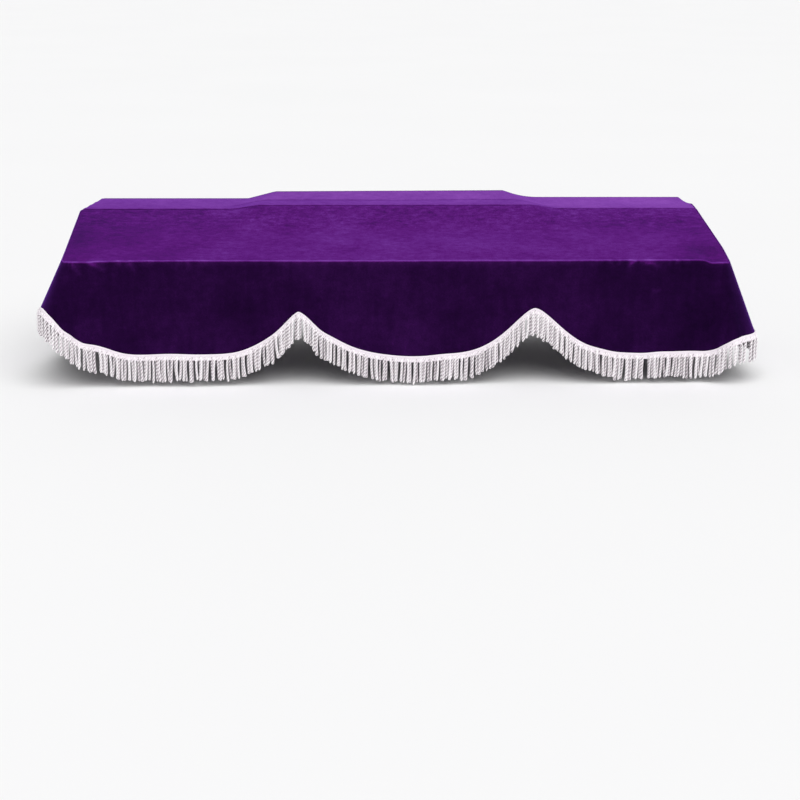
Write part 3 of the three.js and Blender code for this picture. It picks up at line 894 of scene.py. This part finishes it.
# Hanging loops of two plies twisted together
def make_loops(name, start, end, count, materials, seed):
    rng = np.random.default_rng(seed)
    places = loop_places(start, end, count, rng)
    root_draw, tip_draw, longer = clumps(places, rng)
    places = places + root_draw
    sideways, outwards = rim_directions(places)
    tucked = LOOPS["tucked"] + scatter(rng, SCATTER["tucked"], count)
    root = skirt_points(FRINGED, places, -hem_drop(places) - TAPE["height"] + tucked, TAPE_FACE)
    length = LOOPS["length"] + tucked + LOOPS["uneven"] * (longer + scatter(rng, 1, count)) / 2
    drift = tip_draw + rng.normal(0, SWAY["drift"], count)
    bow = scatter(rng, SWAY["bow"], count)
    in_front = np.arange(count) % 2
    layer = LOOPS["layer"] * np.where(in_front, 1, -1) + scatter(rng, SCATTER["layer"], count)
    ply = PLY["off"] * (1 + scatter(rng, SCATTER["ply"], count))
    phase = rng.uniform(0, 2 * np.pi, count)
    turns = PLY["turns"] + scatter(rng, SCATTER["turns"], count)
    own_tone = rng.uniform(0, 1, count)

    run = np.linspace(0, 1, LOOP_MESH["leg"])[:, None]
    swayed = per_loop(drift) * run ** SWAY["drift_power"] + per_loop(bow) * np.sin(np.pi * run)
    stepped = per_loop(layer) * ease(share(run, 0, LOOPS["layer_by"]))
    spine = per_loop(root) + DOWN * run * per_loop(length) + sideways * swayed + outwards * stepped
    apart = PLY["at_root"] + (1 - PLY["at_root"]) * ease(share(run, 0, PLY["full_by"]))
    apart = apart + PLY_TIP["spread"] * run ** PLY_TIP["power"]
    angle = per_loop(phase) + 2 * np.pi * per_loop(turns) * run
    offset = per_loop(ply) * apart * (np.cos(angle) * sideways + np.sin(angle) * outwards)

    path, middle = yarn_path(spine, offset)
    sides = yarn_sides(path, outwards)
    rings = path[:, :, None] + sides * (PLY["yarn"] * per_loop(ply))[..., None]
    # Painted shade: the side of each ply towards the other is darker, and so are the loops of the back
    # layer
    facing = np.sum(sides * unit(path - middle)[:, :, None], axis=-1)
    tone = YARN_SHADE["own"] * per_loop(own_tone) + YARN_SHADE["outer_side"] * (0.5 + 0.5 * facing)
    tone = tone - YARN_SHADE["back_layer"] * per_loop(1 - in_front)
    made = tubes_object(name, rings, materials)
    add_attribute(made, "tone", tone)
    return made


# A material's nodes, made one at a time with their inputs given by name as values or sockets
class Graph:
    def __init__(self, name):
        self.material = bpy.data.materials.new(name)
        self.material.use_nodes = True
        self.tree = self.material.node_tree
        self.shader = self.tree.nodes["Principled BSDF"]

    def set(self, node, inputs):
        for name, value in inputs.items():
            socket = node.inputs[name]
            if isinstance(value, bpy.types.NodeSocket):
                self.tree.links.new(value, socket)
            else:
                socket.default_value = value

    def node(self, kind, inputs, **settings):
        made = self.tree.nodes.new(kind)
        for name, value in settings.items():
            setattr(made, name, value)
        self.set(made, inputs)
        return made

    def math(self, operation, first, second):
        made = self.node("ShaderNodeMath", {0: first, 1: second}, operation=operation)
        return made.outputs["Value"]

    # A sine wave between 0 and 1
    def wave(self, angle):
        sine = self.node("ShaderNodeMath", {0: angle}, operation="SINE").outputs["Value"]
        return self.math("ADD", self.math("MULTIPLY", sine, 0.5), 0.5)

    def noise(self, scale, detail, stretch=(1, 1, 1)):
        place = self.node("ShaderNodeTexCoord", {}).outputs["Object"]
        mapped = self.node("ShaderNodeMapping", {"Vector": place, "Scale": stretch}).outputs["Vector"]
        made = self.node("ShaderNodeTexNoise", {"Vector": mapped, "Scale": scale, "Detail": detail})
        return made.outputs["Fac"]

    def attribute(self, name):
        return self.node("ShaderNodeAttribute", {}, attribute_name=name).outputs["Fac"]

    def ramp(self, value, stops):
        made = self.node("ShaderNodeValToRGB", {"Fac": value})
        elements = made.color_ramp.elements
        while len(elements) < len(stops):
            elements.new(0.5)
        for element, (at, colour) in zip(elements, stops):
            element.position = at
            element.color = (*colour, 1)
        return made.outputs["Color"]

    def bump(self, height, strength, distance):
        inputs = {"Height": height, "Strength": strength, "Distance": distance}
        return self.node("ShaderNodeBump", inputs).outputs["Normal"]


# Weighted sum of values about their middles, added to a start value
def blend_values(graph, start, parts):
    total = start
    for value, weight in parts:
        centred = graph.math("SUBTRACT", value, 0.5)
        total = graph.math("ADD", total, graph.math("MULTIPLY", centred, weight))
    return total


# Colours of the velvet by tone, from dark to light, for the pile's own tone and its painted light and
# shade
VELVET_TONES = [
    (0.0, (0.004, 0.0004, 0.009)),
    (0.2, (0.0135, 0.0014, 0.0275)),
    (0.34, (0.026, 0.0032, 0.05)),
    (0.5, (0.08, 0.0055, 0.134)),
    (0.66, (0.13, 0.028, 0.24)),
    (0.85, (0.215, 0.06, 0.36)),
    (1.0, (0.3, 0.1, 0.48)),
]


def velvet_material():
    graph = Graph("velvet_pile")
    brushed = graph.noise(scale=9, detail=3, stretch=(1, 1.6, 1.6))
    streaks = graph.noise(scale=130, detail=2, stretch=(0.5, 1, 0.12))
    mottled = graph.noise(scale=80, detail=3, stretch=(0.7, 1, 1))
    grain = graph.noise(scale=240, detail=2)
    pile = graph.noise(scale=1100, detail=2)
    # The tone from the mesh holds the pile's own tone and painted light and shade
    broad = blend_values(graph, graph.attribute("velvet_tone_and_painted_light"), [(brushed, 0.22), (streaks, 0.14), (pile, 0.3)])
    rubbed = blend_values(graph, 0.0, [(mottled, 0.34), (grain, 0.3)])
    tone = graph.math("ADD", broad, graph.math("MULTIPLY", rubbed, graph.attribute("ruffled")))
    relief = graph.math("ADD", pile, graph.math("MULTIPLY", mottled, 0.25))
    graph.set(graph.shader, {
        "Base Color": graph.ramp(tone, VELVET_TONES),
        "Roughness": blend_values(graph, 0.92, [(pile, 0.2)]),
        "Specular IOR Level": 0.02,
        "Sheen Weight": 0.4,
        "Sheen Roughness": 0.4,
        "Sheen Tint": (0.4, 0.08, 1.0, 1),
        "Normal": graph.bump(relief, strength=0.5, distance=0.0005),
    })
    return graph.material


def backing_material():
    graph = Graph("velvet_reverse")
    threads = graph.noise(scale=1100, detail=1, stretch=(1, 1, 0.25))
    cross_threads = graph.noise(scale=1100, detail=1, stretch=(0.25, 0.25, 1))
    weave = graph.math("MAXIMUM", threads, cross_threads)
    uneven = graph.noise(scale=30, detail=2)
    tone = blend_values(graph, 0.5, [(weave, 0.5), (uneven, 0.3)])
    graph.set(graph.shader, {
        "Base Color": graph.ramp(tone, [(0, (0.012, 0.003, 0.022)), (1, (0.05, 0.014, 0.085))]),
        "Roughness": blend_values(graph, 0.9, [(weave, 0.2)]),
        "Specular IOR Level": 0.1,
        "Normal": graph.bump(weave, strength=0.5, distance=0.0003),
    })
    return graph.material


# Ribs across the tape, by how far a rib's wave turns in a millimetre
RIB_TURN = 4.2


def tape_material():
    graph = Graph("heading_tape_weave")
    ribs = graph.wave(graph.math("MULTIPLY", graph.attribute("length"), RIB_TURN))
    fibres = graph.noise(scale=1500, detail=2)
    tone = blend_values(graph, 0.6, [(ribs, 0.3), (fibres, 0.3)])
    graph.set(graph.shader, {
        "Base Color": graph.ramp(tone, [(0, (0.68, 0.6, 0.67)), (1, (0.93, 0.87, 0.92))]),
        "Roughness": blend_values(graph, 0.62, [(ribs, -0.12), (fibres, 0.2)]),
        "Specular IOR Level": 0.35,
        "Sheen Weight": 0.15,
        "Normal": graph.bump(ribs, strength=0.4, distance=0.0003),
    })
    return graph.material


# Colours of the yarn by tone, from dark to light; the darkest stand for painted shade between the plies
YARN_TONES = [
    (0.0, (0.12, 0.1, 0.115)),
    (0.42, (0.56, 0.5, 0.54)),
    (0.68, (0.94, 0.89, 0.92)),
    (1.0, (0.985, 0.955, 0.975)),
]

# Fibres of the yarn: how many lie round it, and their turns in a millimetre
FIBRES = {"around": 4, "along": 0.35}


def yarn_material():
    graph = Graph("fringe_yarn")
    around = graph.math("MULTIPLY", graph.attribute("around"), FIBRES["around"])
    along = graph.math("MULTIPLY", graph.attribute("length"), FIBRES["along"])
    fibres = graph.wave(graph.math("MULTIPLY", graph.math("ADD", around, along), 2 * math.pi))
    fuzz = graph.noise(scale=1400, detail=2)
    tone = blend_values(graph, 0.6, [(graph.attribute("tone"), 0.9), (fibres, 0.2), (fuzz, 0.3)])
    graph.set(graph.shader, {
        "Base Color": graph.ramp(tone, YARN_TONES),
        "Roughness": blend_values(graph, 0.7, [(fibres, -0.12), (fuzz, 0.2)]),
        "Specular IOR Level": 0.3,
        "Sheen Weight": 0.2,
        "Normal": graph.bump(fibres, strength=0.35, distance=0.0003),
    })
    return graph.material


def floor_material():
    graph = Graph("studio_floor")
    tone = graph.noise(scale=0.8, detail=2)
    graph.set(graph.shader, {
        "Base Color": graph.ramp(tone, [(0, (0.86, 0.86, 0.865)), (1, (0.88, 0.88, 0.885))]),
        "Roughness": 0.8,
        "Specular IOR Level": 0.1,
    })
    return graph.material


# Cloth and fringe
velvet = [velvet_material(), backing_material()]
tape_weave = [tape_material()]
yarn = [yarn_material()]
right_rim = zoned_steps(SIDE_COLUMNS)
rims = {"front": zoned_steps(FRONT_COLUMNS), "left": -right_rim[::-1], "right": right_rim}

pieces = {"top": make_top(velvet)}
for side, rim in rims.items():
    pieces[side] = make_skirt(f"velvet_{side}", FRINGED, rim, velvet)
pieces["back"] = make_skirt("velvet_back", PLAIN, zoned_steps(BACK_COLUMNS)[::-1], velvet)
trims = {}
for number, (side, rim) in enumerate(rims.items()):
    start, end = rim[0], rim[-1]
    tape = make_tape(f"{side}_tape", start, end, tape_weave)
    loops = make_loops(f"{side}_loops", start, end, LOOP_COUNTS[side], yarn, SEED + number)
    trims[side] = [tape, loops]

for side, piece in pieces.items():
    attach(piece, "root")
    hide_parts("top_panel" if side == "top" else f"{side}_skirt")
for side, trim in trims.items():
    for piece in trim:
        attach(piece, "root")
        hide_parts(f"{side}_fringe")


# Floor
def make_floor(level):
    mesh = bpy.data.meshes.new("floor")
    corners = [(-1, -1), (1, -1), (1, 1), (-1, 1)]
    mesh.from_pydata([(x * FLOOR_HALF, y * FLOOR_HALF, level) for x, y in corners], [], [(0, 1, 2, 3)])
    mesh.materials.append(floor_material())
    floor = bpy.data.objects.new("floor", mesh)
    bpy.context.scene.collection.objects.link(floor)


# Camera at the photograph's place and angle
def make_camera():
    yaw, pitch, roll = (math.radians(CAMERA[name]) for name in ("yaw", "pitch", "roll"))
    forward = math.cos(pitch)
    ahead = np.array([math.sin(yaw) * forward, math.cos(yaw) * forward, -math.sin(pitch)])
    level = np.array([math.cos(yaw), -math.sin(yaw), 0])
    above = np.cross(level, ahead)
    right = math.cos(roll) * level + math.sin(roll) * above
    up = -math.sin(roll) * level + math.cos(roll) * above
    turn = Matrix(np.stack([right, up, -ahead], axis=1).tolist()).to_4x4()
    data = bpy.data.cameras.new("camera")
    data.sensor_width = SENSOR_MM
    data.lens = SENSOR_MM * FOCAL_PIXELS / FRAME_PIXELS
    data.clip_end = 3 * FLOOR_HALF
    camera = bpy.data.objects.new("camera", data)
    camera.matrix_world = Matrix.Translation(CAMERA["place"]) @ turn
    bpy.context.scene.collection.objects.link(camera)
    bpy.context.scene.camera = camera


# A broad soft light from above and a pale world
def make_lights():
    data = bpy.data.lights.new("overhead", "SUN")
    data.energy = SUN["energy"]
    data.angle = math.radians(SUN["spread"])
    light = bpy.data.objects.new("overhead", data)
    light.rotation_euler = (math.radians(SUN["tilt"]), 0, math.radians(SUN["turn"]))
    bpy.context.scene.collection.objects.link(light)
    world = bpy.data.worlds.new("studio")
    world.use_nodes = True
    tree = world.node_tree
    place = tree.nodes.new("ShaderNodeTexCoord").outputs["Generated"]
    split = tree.nodes.new("ShaderNodeSeparateXYZ")
    tree.links.new(place, split.inputs["Vector"])
    height = tree.nodes.new("ShaderNodeValToRGB")
    tree.links.new(split.outputs["Z"], height.inputs["Fac"])
    for element, (at, level) in zip(height.color_ramp.elements, SKY_LEVELS):
        element.position = at
        element.color = (level, level, level, 1)
    tree.links.new(height.outputs["Color"], tree.nodes["Background"].inputs["Color"])
    bpy.context.scene.world = world


visual_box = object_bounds()
make_floor(visual_box[0].z - FLOOR_GAP)
make_camera()
make_lights()
bpy.context.scene.view_settings.view_transform = "Standard"
